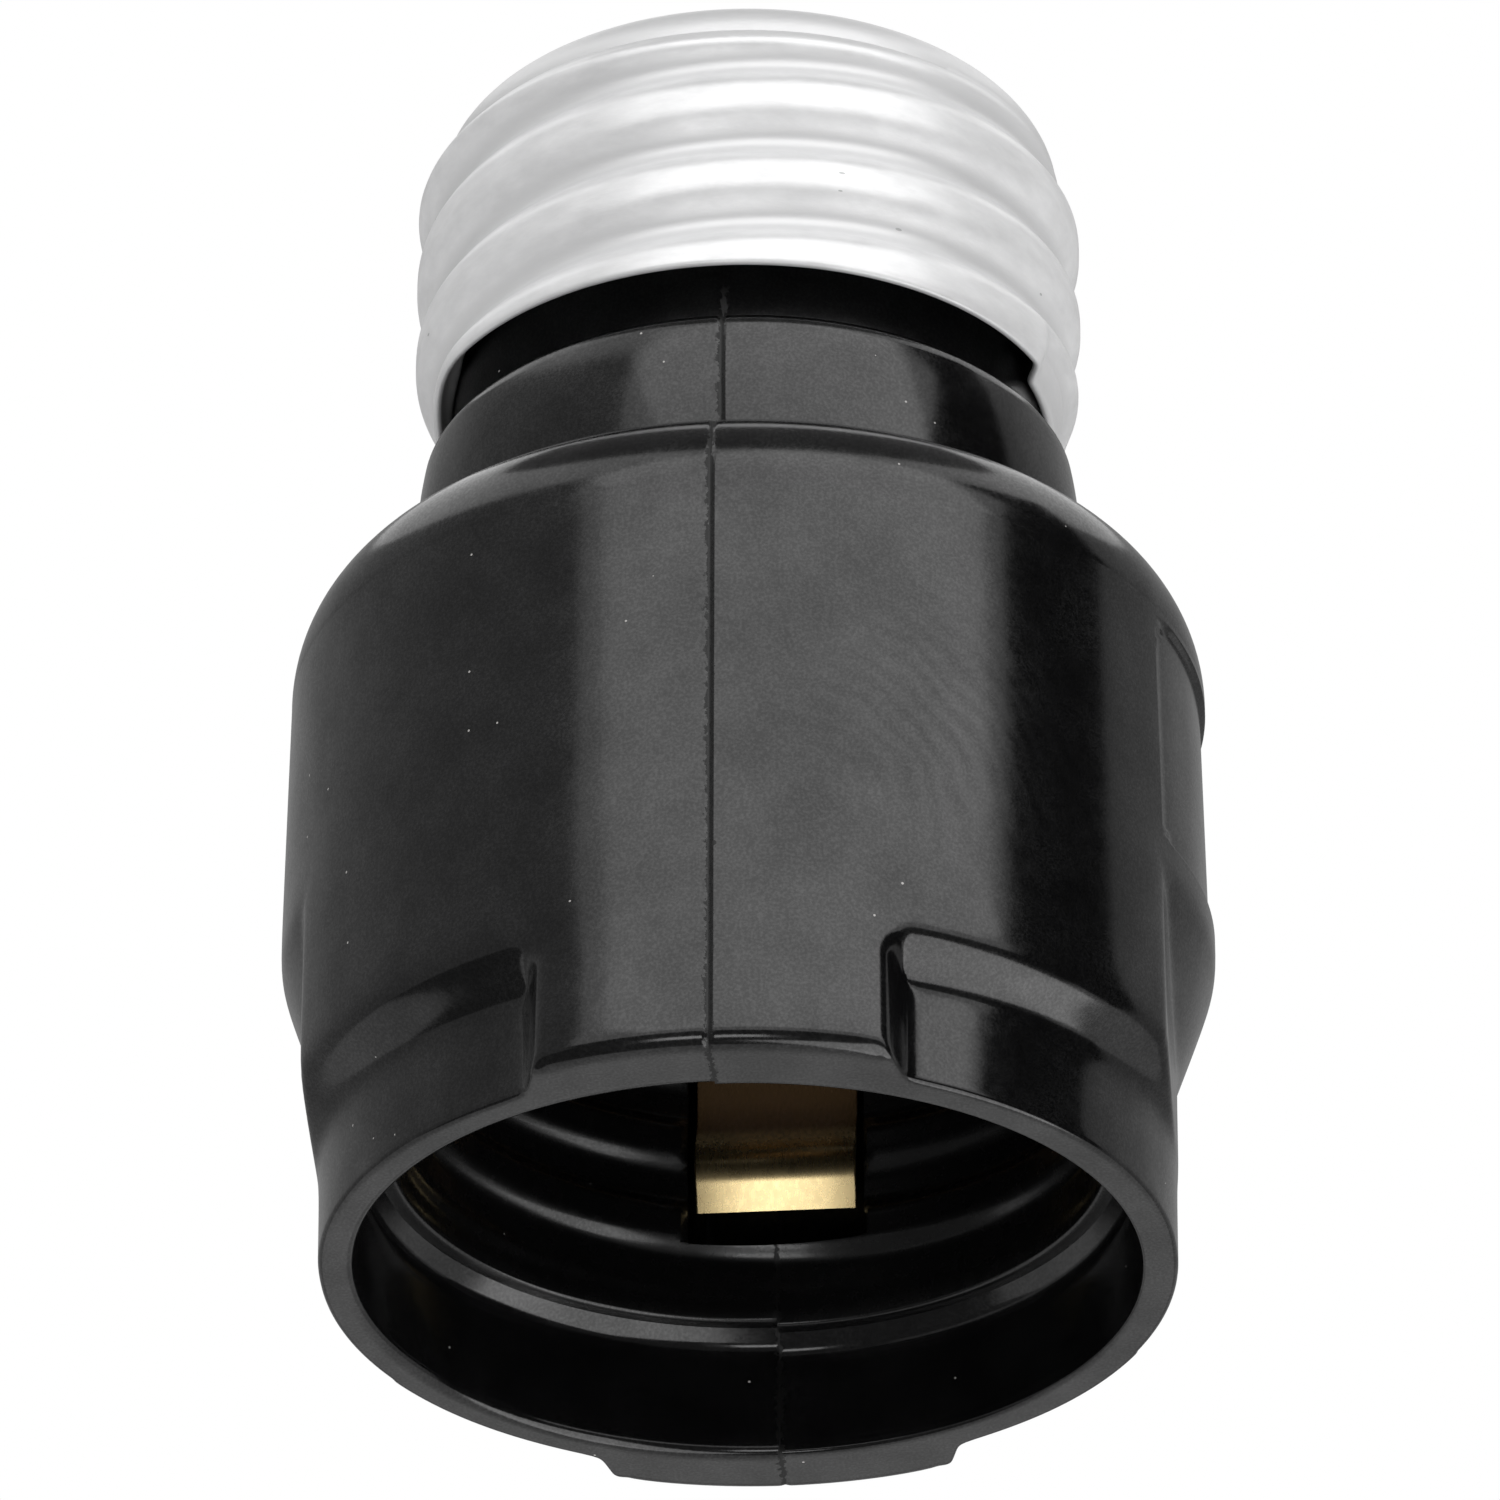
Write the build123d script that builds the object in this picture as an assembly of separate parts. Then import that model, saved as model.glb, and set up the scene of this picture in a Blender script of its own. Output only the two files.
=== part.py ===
from build123d import *
from math import cos, radians, sin, sqrt, tan
import os

# Lamp socket adapter: a screw shell on top, a moulded body in two halves and an open socket below.
# Millimetres. +Z points up through the screw shell, z = 0 is the plane of the mouth's rim.
# The parting plane of the two halves is x = 0. Angles run from -Y (the front seam) towards +X.

# Screw shell
thread_pitch = 3.629
crest_radius = 13.1
thread_depth = 0.8
thread_phase = 0.49            # height above the rim at which a crest crosses the front seam
thread_steps = 6               # sections that draw one turn of the thread
sheet = 0.35
shell_height = 13.15
shell_gap = 2.0                # from the collar's top to the shell's rim
crown_fade = 1.3               # height over which the thread dies out below the crown
crown_radius = 1.9
crown_hole_radius = 8.9
crimp_half_angle = 20.0
crimp_side_clearance = 1.5     # degrees
crimp_depth = 0.75
crimp_height = 1.3
crimp_slope = 0.9

# Body, outside
mouth_wall = 3.3
wall_draft = 1.0               # degrees
wall_height = 24.3
shoulder_width = 3.2
shoulder_rise = 4.1
collar_step = 1.35             # how far the collar stands out from the neck
collar_barrel = 0.32           # how far the collar's side draws in at its top and bottom
collar_height = 6.45
neck_clearance = 0.35
nose_clearance = 0.4
nose_taper = 2.5
nose_height = 2.9
foot_round = 0.7

# Body, inside
lamp_clearance = 0.4           # between a lamp's thread crest and the socket's wall
mouth_step = 1.25              # how much wider the mouth is than the socket
mouth_depth = 4.8
socket_roof = 2.0              # from the top of the socket's wall to the shoulder
chamber_height = 4.6
cone_height = 2.4

# Rim
rim_wall = 1.45
lug_half_angle = 21.2
recess_height = 5.2
recess_slope = 1.2
recess_fillet = 0.5
bay_angle = 66.3               # where a bay starts, from the front seam
bay_end_angle = 120.0
bay_height = 13.2
bay_slope = 5.0
panel_gap = 0.8                # plain wall between a bay and the panel above it
panel_top_gap = 0.3            # plain wall between the panel and the shoulder
panel_depth = 0.15
panel_corner = 1.2

# Pegs that line up the halves
peg_radius = 0.8
peg_length = 1.6
peg_clearance = 0.1
peg_end_clearance = 0.2
peg_margin = 4.0               # from the ends of the socket's wall to the pegs beside it

# Side contact
strip_width = 6.3
strip_thickness = 0.4
strip_clearance = 0.25
strip_inset = 1.1              # from the neck's surface in to the middle of the strip
strip_rise = 8.35              # from the shell's rim to the top of the strip
strip_bend_radius = 1.2
head_ear = 1.15                # how far the head stands out on each side of the strip
head_height = 3.0
head_drop = 3.6                # from the top of the strip down to the top of its head
lip_length = 2.4
lip_clearance = 0.3
jog_drop = 2.4                 # from the shoulder's top down to where the strip jogs out
jog_height = 3.5
strip_set = 0.2                # how far the strip lies behind the socket's wall
nose_depth = 1.45
nose_rise = 6.4                # from the mouth's ledge up to the nose
nose_half_height = 1.5
nose_room = 1.5                # from the strip's lower end down to the pocket's floor
side_travel = 1.1
pocket_clearance = 0.45
slot_wall = 1.05               # between the strip's slot and the chamber

# Centre contact and tip
flange_radius = 3.2
plunger_lip = 0.8
plunger_clearance = 0.2
plunger_head_radius = 4.2
plunger_head_height = 2.0
plunger_cone = 0.6
plunger_flange = 1.0
plunger_travel = 1.8
travel_clearance = 0.2
guide_length = 3.4
spring_wire = 0.6
spring_inset = 0.6
spring_wire_sides = 8
spring_turns = 6
spring_steps = 8               # sections that draw one turn of the spring
spring_seat = 0.1
spring_room = 12.0
tip_radius = 4.8
tip_edge = 0.6
tip_cone_run = 1.6
tip_cone_rise = 1.1
tip_lip = 0.4
tip_flange = 1.2
tip_clearance = 0.1

# How far a cutting shape reaches past what it cuts
overshoot = 1.0

# Radii worked out from the sizes above
root_radius = crest_radius - thread_depth
shell_inner = root_radius - sheet
neck_radius = shell_inner - neck_clearance
collar_radius = neck_radius + collar_step
nose_radius = crown_hole_radius - nose_clearance
socket_radius = crest_radius + lamp_clearance
mouth_radius = socket_radius + mouth_step
base_radius = mouth_radius + mouth_wall
recess_radius = mouth_radius + rim_wall
draft_slope = tan(radians(wall_draft))
wall_top_radius = base_radius - wall_height * draft_slope
plunger_radius = flange_radius - plunger_lip
tip_shank_radius = flange_radius - tip_lip
spring_radius = flange_radius - spring_inset - spring_wire / 2
bore_radius = flange_radius + plunger_clearance

# Heights, from the rim up
shoulder_top = wall_height + shoulder_rise
collar_top = shoulder_top + collar_height
shell_rim = collar_top + shell_gap
shell_top = shell_rim + shell_height
neck_top = shell_top - sheet
nose_top = shell_top + nose_height
socket_top = wall_height - socket_roof
chamber_floor = socket_top + cone_height
chamber_top = chamber_floor + chamber_height
panel_low = bay_height + panel_gap
panel_high = wall_height - panel_top_gap
crimp_knee = shell_rim + crimp_height
crimp_top = crimp_knee + crimp_slope

# Places of the side contact, seen along X
strip_y = neck_radius - strip_inset
strip_back = strip_y - strip_thickness / 2
strip_front = strip_y + strip_thickness / 2
groove_floor = strip_back - strip_clearance
chamber_radius = groove_floor - slot_wall
strip_top = shell_rim + strip_rise
pivot_z = strip_top - head_drop
jog_z = shoulder_top - jog_drop
spring_y = socket_radius + strip_set + strip_thickness / 2
nose_y = spring_y - nose_depth
nose_z = mouth_depth + nose_rise
pocket_floor = nose_z - nose_half_height - nose_room
pocket_back = spring_y + strip_thickness / 2 + side_travel + pocket_clearance
slot_travel = side_travel * (pivot_z - jog_z) / (pivot_z - nose_z)

# Places of the centre contact
guide_top = chamber_top + guide_length
spring_bottom = guide_top + plunger_flange
spring_top = spring_bottom + spring_room
bore_top = spring_top + tip_flange + tip_clearance
head_top = chamber_top - plunger_travel - travel_clearance
head_bottom = head_top - plunger_head_height


def turned(outline):
    """A solid of revolution about Z from an outline drawn in the XZ plane."""
    return revolve(Plane.XZ * make_face(outline), Axis.Z)


def sector(outline, start, end):
    """The outline revolved from one angle to another, counted from -Y towards +X."""
    swept = revolve(Plane.XZ * make_face(outline), Axis.Z, end - start)
    return Rot(0, 0, start - 90) * swept


def both_sides(start, end):
    """An angle range on the right half and its mirror image on the left half."""
    return ((start, end), (-end, -start))


def rod(radius, bottom, top):
    """An upright cylinder on the axis."""
    return Pos(0, 0, bottom) * Cylinder(radius, top - bottom, align=(Align.CENTER, Align.CENTER, Align.MIN))


def slab(width, y_low, y_high, z_low, z_high):
    """A box centred on the parting plane."""
    block = Box(width, y_high - y_low, z_high - z_low)
    return Pos(0, (y_low + y_high) / 2, (z_low + z_high) / 2) * block


def body_blank():
    """The outside of both halves together, turned about the axis."""
    shoulder = EllipticalCenterArc(
        (wall_top_radius - shoulder_width, wall_height), shoulder_width, shoulder_rise, arc_size=90
    )
    collar_edge = collar_radius - collar_barrel
    collar = ThreePointArc(
        (collar_edge, shoulder_top),
        (collar_radius, shoulder_top + collar_height / 2),
        (collar_edge, collar_top),
    )
    foot_radius = base_radius - foot_round * draft_slope
    foot_edge = foot_radius - foot_round
    outline = [
        Line((0, 0), (foot_edge, 0)),
        TangentArc((foot_edge, 0), (foot_radius, foot_round), tangent=(1, 0)),
        Line((foot_radius, foot_round), shoulder @ 0),
        shoulder,
        Line(shoulder @ 1, collar @ 0),
        collar,
        Polyline(
            collar @ 1,
            (neck_radius, collar_top),
            (neck_radius, neck_top - crown_radius),
            (neck_radius - crown_radius, neck_top),
            (nose_radius, neck_top),
            (nose_radius, shell_top),
            (nose_radius - nose_taper, nose_top),
            (0, nose_top),
            (0, 0),
        ),
    ]
    return turned(outline)


def socket_space():
    """The mouth, the lamp's bore and the narrower chamber above it."""
    outline = Polyline(
        (0, -overshoot),
        (mouth_radius, -overshoot),
        (mouth_radius, mouth_depth),
        (socket_radius, mouth_depth),
        (socket_radius, socket_top),
        (chamber_radius, chamber_floor),
        (chamber_radius, chamber_top),
        (0, chamber_top),
        close=True,
    )
    return turned(outline)


def recess_cut(start, end, height, slope):
    """A recess in the rim: an upright floor that runs out to the wall over a sloped top."""
    outer = base_radius + overshoot
    outer_z = height + overshoot * slope / (base_radius - recess_radius)
    floor = FilletPolyline(
        (recess_radius, -overshoot),
        (recess_radius, height - slope),
        (outer, outer_z),
        radius=recess_fillet,
    )
    edge = Polyline((outer, outer_z), (outer, -overshoot), (recess_radius, -overshoot))
    return sector([floor, edge], start, end)


def panel_cut():
    """A shallow sunk panel with round corners on the right half, above its bay."""
    width = 2 * wall_top_radius * cos(radians(bay_angle))
    window = RectangleRounded(width, panel_high - panel_low, panel_corner)
    plane = Plane(origin=(0, 0, (panel_low + panel_high) / 2), x_dir=(0, 1, 0), z_dir=(1, 0, 0))
    block = extrude(plane * window, base_radius + overshoot)
    floor_radius = base_radius - panel_depth
    core = turned(
        Polyline(
            (0, 0),
            (floor_radius, 0),
            (floor_radius - draft_slope * wall_height, wall_height),
            (0, wall_height),
            close=True,
        )
    )
    return block - core


def rim_cuts():
    """The recess between the lugs, the two bays and the panel around the skirt."""
    cuts = [panel_cut()]
    for start, end in both_sides(lug_half_angle, 180 - lug_half_angle):
        cuts.append(recess_cut(start, end, recess_height, recess_slope))
    for start, end in both_sides(bay_angle, bay_end_angle):
        cuts.append(recess_cut(start, end, bay_height, bay_slope))
    return cuts


def neck_notches():
    """Notches in the neck that take the shell's two crimps."""
    floor = shell_inner - crimp_depth - neck_clearance
    outline = Polyline(
        (floor, shell_rim - neck_clearance),
        (crest_radius, shell_rim - neck_clearance),
        (crest_radius, crimp_top + neck_clearance),
        (neck_radius, crimp_top + neck_clearance),
        (floor, crimp_knee + neck_clearance),
        close=True,
    )
    reach = crimp_half_angle + crimp_side_clearance
    return [sector(outline, start, end) for start, end in both_sides(90 - reach, 90 + reach)]


def contact_spaces():
    """The pocket, slot and head seat for the side contact, and the stepped bore on the axis."""
    slot = strip_width + 2 * strip_clearance
    slot_front = strip_front + slot_travel + strip_clearance
    head_seat = slot + 2 * head_ear
    head_low = pivot_z - head_height - strip_clearance
    outside = crest_radius + overshoot
    return [
        slab(slot, groove_floor, pocket_back, pocket_floor, jog_z + strip_clearance),
        slab(slot, groove_floor, slot_front, jog_z, collar_top),
        slab(slot, groove_floor, outside, collar_top, head_low),
        slab(head_seat, strip_back, outside, head_low, pivot_z),
        slab(slot, groove_floor, outside, pivot_z, strip_top + strip_clearance),
        rod(plunger_radius + plunger_clearance, chamber_top - overshoot, guide_top),
        rod(bore_radius, guide_top, bore_top),
        rod(tip_shank_radius + tip_clearance, bore_top, nose_top + overshoot),
    ]


def peg_places():
    """Where the pegs stand on the parting plane, as (y, z)."""
    skirt_y = (socket_radius + wall_top_radius) / 2
    mouth_y = (mouth_radius + base_radius) / 2
    neck_y = (bore_radius + neck_radius) / 2
    return (
        (-skirt_y, mouth_depth + peg_margin),
        (-skirt_y, socket_top - peg_margin),
        (mouth_y, mouth_depth / 2),
        (-neck_y, (collar_top + neck_top) / 2),
    )


def peg(radius, length, y, z):
    """A peg or peg hole that crosses the parting plane out of the left half."""
    pin = Cylinder(radius, peg_length + length, align=(Align.CENTER, Align.CENTER, Align.MIN))
    return Pos(-peg_length, y, z) * Rot(0, 90, 0) * pin


def body_halves():
    """The two moulded halves, split along the parting plane, with pegs and holes."""
    body = body_blank() - socket_space()
    for cut in rim_cuts() + neck_notches() + contact_spaces():
        body -= cut
    left = split(body, bisect_by=Plane.YZ, keep=Keep.BOTTOM)
    right = split(body, bisect_by=Plane.YZ, keep=Keep.TOP)
    for y, z in peg_places():
        left += peg(peg_radius, peg_length, y, z)
        right -= peg(peg_radius + peg_clearance, peg_length + peg_end_clearance, y, z)
    return left, right


def thread_core(plain_radius, press=0.0):
    """A rolled screw thread, lofted through off-centre discs that turn once in each pitch.

    Each disc's far edge is the crest and its near edge the root, so the section along the
    axis is a wave, as on a knuckle thread. The discs are centred at the crown.
    Press is how far the rim is pushed in below the top of a crimp.
    """
    low = shell_rim
    high = shell_top - crown_radius
    count = round((high - low) / thread_pitch * thread_steps)
    discs = []
    for step in range(count + 1):
        z = low + (high - low) * step / count
        fade = min(1, (high - z) / crown_fade)
        offset = thread_depth / 2 * fade
        turn = radians((z - low - thread_phase) / thread_pitch * 360 - 90)
        pushed = press * max(0, min(1, (crimp_top - z) / crimp_slope))
        centre = Pos(offset * cos(turn), offset * sin(turn), z)
        discs.append(centre * Circle(plain_radius + offset - pushed))
    return loft(discs, ruled=True)


def crown_cap(outline):
    """The shell's end cap down to where the thread starts, from the outline of its shoulder."""
    low = outline @ 0
    top = outline @ 1
    return turned([outline, Polyline(top, (0, top.Y), (0, low.Y), low)])


def screw_shell():
    """The thin shell: the thread rolled in sheet, a rounded crown with a hole, and two crimps."""
    crown_z = shell_top - crown_radius
    outer_edge = (root_radius - crown_radius, shell_top)
    inner_edge = (shell_inner - crown_radius + sheet, neck_top)
    outer_crown = crown_cap(TangentArc((root_radius, crown_z), outer_edge, tangent=(0, 1)))
    inner_crown = crown_cap(Line((shell_inner, crown_z), inner_edge))
    shell = thread_core(root_radius) + outer_crown - thread_core(shell_inner) - inner_crown
    shell -= rod(crown_hole_radius, crown_z, shell_top + overshoot)
    crimped = thread_core(root_radius, crimp_depth) - thread_core(shell_inner, crimp_depth)
    reach = crest_radius + overshoot
    for start, end in both_sides(90 - crimp_half_angle, 90 + crimp_half_angle):
        low = shell_rim - overshoot
        high = crimp_top + thread_pitch / thread_steps
        window = sector(Polyline((0, low), (reach, low), (reach, high), (0, high), close=True), start, end)
        shell = (shell - window) + (crimped & window)
    return shell


def side_contact():
    """A bent brass strip: a lip and head in the neck, a jog out to the socket and a sprung nose."""
    lip_front = sqrt((shell_inner - lip_clearance) ** 2 - (strip_width / 2) ** 2)
    lip_y = lip_front - strip_thickness / 2
    lip_run = sqrt(lip_length ** 2 - (lip_y - strip_y) ** 2)
    path = FilletPolyline(
        (lip_y, strip_top),
        (strip_y, strip_top - lip_run),
        (strip_y, jog_z),
        (spring_y, jog_z - jog_height),
        (spring_y, nose_z + 2 * nose_half_height),
        (nose_y, nose_z),
        (spring_y, nose_z - nose_half_height),
        radius=strip_bend_radius,
    )
    ribbon = Plane.YZ * trace(path, strip_thickness)
    strip = extrude(ribbon, strip_width / 2, both=True)
    head = slab(strip_width + 2 * head_ear, strip_back, strip_front, pivot_z - head_height, pivot_z)
    return strip + head


def centre_plunger():
    """The centre contact: a coned head below, a shank in the guide and a flange that stops it."""
    outline = Polyline(
        (0, head_bottom - plunger_cone),
        (plunger_head_radius, head_bottom),
        (plunger_head_radius, head_top),
        (plunger_radius, head_top),
        (plunger_radius, guide_top),
        (flange_radius, guide_top),
        (flange_radius, spring_bottom),
        (0, spring_bottom),
        close=True,
    )
    return turned(outline)


def contact_spring():
    """The coil spring between the plunger's flange and the tip contact, swept in short straight runs."""
    height = spring_room - 2 * spring_seat - spring_wire
    bottom = spring_bottom + spring_seat + spring_wire / 2
    count = spring_turns * spring_steps
    points = []
    for step in range(count + 1):
        angle = radians(360 * step / spring_steps)
        z = bottom + height * step / count
        points.append((spring_radius * cos(angle), spring_radius * sin(angle), z))
    path = Polyline(points)
    section = Plane(origin=path @ 0, z_dir=path % 0) * RegularPolygon(spring_wire / 2, spring_wire_sides)
    return sweep(section, path=path, transition=Transition.RIGHT)


def tip_contact():
    """The contact on the nose: a coned button on a shank that is held by a flange inside."""
    outline = Polyline(
        (0, spring_top),
        (flange_radius, spring_top),
        (flange_radius, spring_top + tip_flange),
        (tip_shank_radius, spring_top + tip_flange),
        (tip_shank_radius, nose_top),
        (tip_radius, nose_top),
        (tip_radius, nose_top + tip_edge),
        (tip_radius - tip_cone_run, nose_top + tip_edge + tip_cone_rise),
        (0, nose_top + tip_edge + tip_cone_rise),
        close=True,
    )
    return turned(outline)


left_half, right_half = body_halves()
nodes = {
    "left_body_half": left_half,
    "right_body_half": right_half,
    "screw_shell": screw_shell(),
    "side_contact": side_contact(),
    "centre_plunger": centre_plunger(),
    "contact_spring": contact_spring(),
    "tip_contact": tip_contact(),
}
os.makedirs("parts", exist_ok=True)
for name, solid in nodes.items():
    export_step(solid, f"parts/{name}.step")
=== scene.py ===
import math

import bpy
import numpy as np
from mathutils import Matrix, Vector


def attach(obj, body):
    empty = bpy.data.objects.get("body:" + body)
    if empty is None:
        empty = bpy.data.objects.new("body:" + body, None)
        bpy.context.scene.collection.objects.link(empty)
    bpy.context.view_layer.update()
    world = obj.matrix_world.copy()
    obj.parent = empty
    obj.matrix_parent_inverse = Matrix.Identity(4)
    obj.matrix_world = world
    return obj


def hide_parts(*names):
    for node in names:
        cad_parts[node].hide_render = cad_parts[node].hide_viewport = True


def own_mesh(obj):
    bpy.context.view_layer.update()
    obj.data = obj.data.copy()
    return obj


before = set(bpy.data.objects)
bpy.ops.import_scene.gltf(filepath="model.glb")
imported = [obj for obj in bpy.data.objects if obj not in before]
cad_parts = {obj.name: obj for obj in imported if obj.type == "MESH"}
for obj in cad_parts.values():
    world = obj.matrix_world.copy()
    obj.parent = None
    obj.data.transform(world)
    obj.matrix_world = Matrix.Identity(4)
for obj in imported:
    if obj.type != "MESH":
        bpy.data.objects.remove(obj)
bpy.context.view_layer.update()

bl_info = {
    "name": "Lamp socket adapter",
    "version": (1, 0, 0),
    "blender": (4, 5, 0),
    "location": "View3D > Sidebar > Adapter",
    "description": "Models a lamp socket adapter over its solids, with finishes and a studio",
    "category": "Object",
}

MM = 0.001
QUARTER = math.pi / 2
TURN = 2 * math.pi
WHITE = (1.0, 1.0, 1.0, 1.0)
MAIN_BODY = "body"
STRIP_BODY = "side_contact"
PLUNGER_BODY = "centre_plunger"

# Heights in millimetres up the skirt and down the socket, and the steps between them.
WALL_MARKS = (3.3, 6.0, 8.4, 13.4, 13.9, 14.3, 15.6, 22.7, 23.8, 24.3)
WALL_STEPS = (38, 10, 28, 4, 10, 10, 12, 9, 10)
SOCKET_MARKS = (26.25, 26.1, 22.3, 14.5, 8.6, 8.2, 5.7)
SOCKET_STEPS = (2, 9, 34, 42, 10, 19)

# Angles in radians: even step, reach of the finer steps round each kind of edge, and the finer step.
ANGLE_STEPS = {
    "bay": (0.026, 0.028, 0.0035),
    "lug": (1.0, 0.05, 0.006),
    "seam": (1.0, 0.036, 0.0024),
    "wall": (1.0, 0.004, 0.002),
    "back": (1.0, 0.004, 0.002),
}
SEAM_GAP = 0.00005
LUG_SHIFT = 0.03
LEAST_ANGLE = 0.0009
RIDGE_GAIN = 1.25
STRIP_STEP = 0.4 * MM

# Turned contacts as (radius, height) in millimetres from axis to axis, and the rounding of their corners.
TIP_OUTLINE = (
    (0, 45.7), (3.2, 45.7), (3.2, 46.9), (2.8, 46.9), (2.8, 52.9),
    (4.8, 52.9), (4.8, 53.5), (3.2, 54.6), (0, 54.6),
)
TIP_ROUNDING = 0.12
PLUNGER_OUTLINE = (
    (0, 24.7), (4.2, 25.3), (4.2, 27.3), (2.4, 27.3), (2.4, 32.7), (3.2, 32.7), (3.2, 33.7), (0, 33.7),
)
PLUNGER_ROUNDING = 0.15

# Where a finish changes: over a pair of radii or heights, or about a place.
SOCKET_REACH = (13.7 * MM, 14.1 * MM)
SOCKET_TOP = 24.0 * MM
# Radii below which the shell's thread roots are darkened as painted shade.
ROOT_SHADE_REACH = (12.35 * MM, 12.65 * MM)
# Heights between which the brass strip is painted dark brown, as painted shade for the dark socket it faces.
STRIP_SHADE_START = (12.4 * MM, 13.6 * MM)
STRIP_SHADE_END = (35.8 * MM, 37.0 * MM)
SEAM_WIDTHS = (0.03 * MM, 0.3 * MM)
SWIRL_PLACE = (9.0, -15.3, 14.5)
SWIRL_REACH = 7.0 * MM
SWIRL_OFFSET = (0.9, 0.3, 0.7)

# Noise values that are stretched to a full range.
NOISE_SPAN = (0.3, 0.7)
FINE_SPAN = (0.4, 0.7)
HAZE_SPAN = (0.4, 0.65)
SMUDGE_SPAN = (0.35, 0.65)
CRUMB_SPAN = (0.42, 0.72)

# Gloss and metal of the finishes.
MOULDING_ROUGHNESS = (0.1, 0.17)
SEAM_ROUGHNESS = 0.5
FILM_ROUGHNESS = 0.16
SHELL_ROUGHNESS = (0.36, 0.46)
SHELL_METALLIC = 0.42
BRASS_ROUGHNESS = (0.26, 0.29)
# Metal of the brass strip where it carries that painted shade.
STRIP_SHADE_METALLIC = 0.3
WIRE_ROUGHNESS = (0.25, 0.42)
FLOOR_ROUGHNESS = 0.9
FLOOR_REACH = 6.0
GRAIN_GROUP = "Surface grain"
GRAIN_DEFAULTS = {"Mottle Scale": 900.0, "Grain Scale": 7000.0, "Speck Scale": 420.0, "Speck Size": 0.05}
SPECK_CHOICE = 0.8
SMUDGE_FILM = (0.0, 0.3)
GRAIN_FILM = (0.0, 0.45)
SWIRL_FILM = 0.3
SWIRL_ROUGHER = 0.04
HAZE_ROUGHER = 0.06
SOCKET_ROUGHER = 0.13
MOULDING_BUMP = 0.002 * MM
SHELL_BUMP = 0.01 * MM
WIRE_BUMP = 0.006 * MM

# Overlaps that carry the cuts in the moulding past the faces they open.
SLOT_OVERLAP = 0.4 * MM
CUT_OVERLAP = 0.1 * MM
GROOVE_OVERLAP = 0.01 * MM
NECK_OVERLAP = 2.4 * MM

# Lights: azimuth and elevation in degrees, then distance, width and height in metres.
LIGHTS = {
    "key_light": (20.0, 34.0, 0.62, 1.1, 0.62),
    "low_light": (75.0, -58.0, 0.34, 0.3, 0.3),
    "under_light": (-5.0, -41.0, 0.36, 0.14, 0.08),
}

# Cards: inner and outer radius in metres, and the azimuths between them in degrees.
CARDS = {
    "dark_table": (0.0, 2.5, -90.0, 90.0),
    "grey_table": (0.0, 1.0, 90.0, 270.0),
    "grey_screen": (1.0, 1.0, 104.0, 322.0),
    "grey_roof": (0.0, 0.55, 0.0, 360.0),
    "black_flag": (0.8, 0.8, 66.0, 104.0),
}
SCREEN_TOP = 1.0
ROOF_HEIGHT = 1.05
FLAG_TONE = 0.01


def mm(description, millimetres):
    """A length property, given in millimetres and kept in metres."""
    settings = {"description": description, "default": millimetres * MM, "unit": "LENGTH", "precision": 5}
    return bpy.props.FloatProperty, settings


def turn(description, degrees):
    """An angle property, given in degrees and kept in radians."""
    settings = {"description": description, "default": math.radians(degrees), "subtype": "ANGLE"}
    return bpy.props.FloatProperty, settings


def colour(description, rgb):
    """A colour property."""
    settings = {"description": description, "default": rgb, "subtype": "COLOR", "size": 3}
    return bpy.props.FloatVectorProperty, {**settings, "min": 0.0, "max": 1.0}


def amount(description, value):
    """A plain number property."""
    return bpy.props.FloatProperty, {"description": description, "default": value}


def named(group):
    """Makes each field of a group a property with the field's own name."""
    for field, (maker, settings) in group.__annotations__.items():
        group.__annotations__[field] = maker(name=field.replace("_", " ").capitalize(), **settings)
    return group


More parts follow.
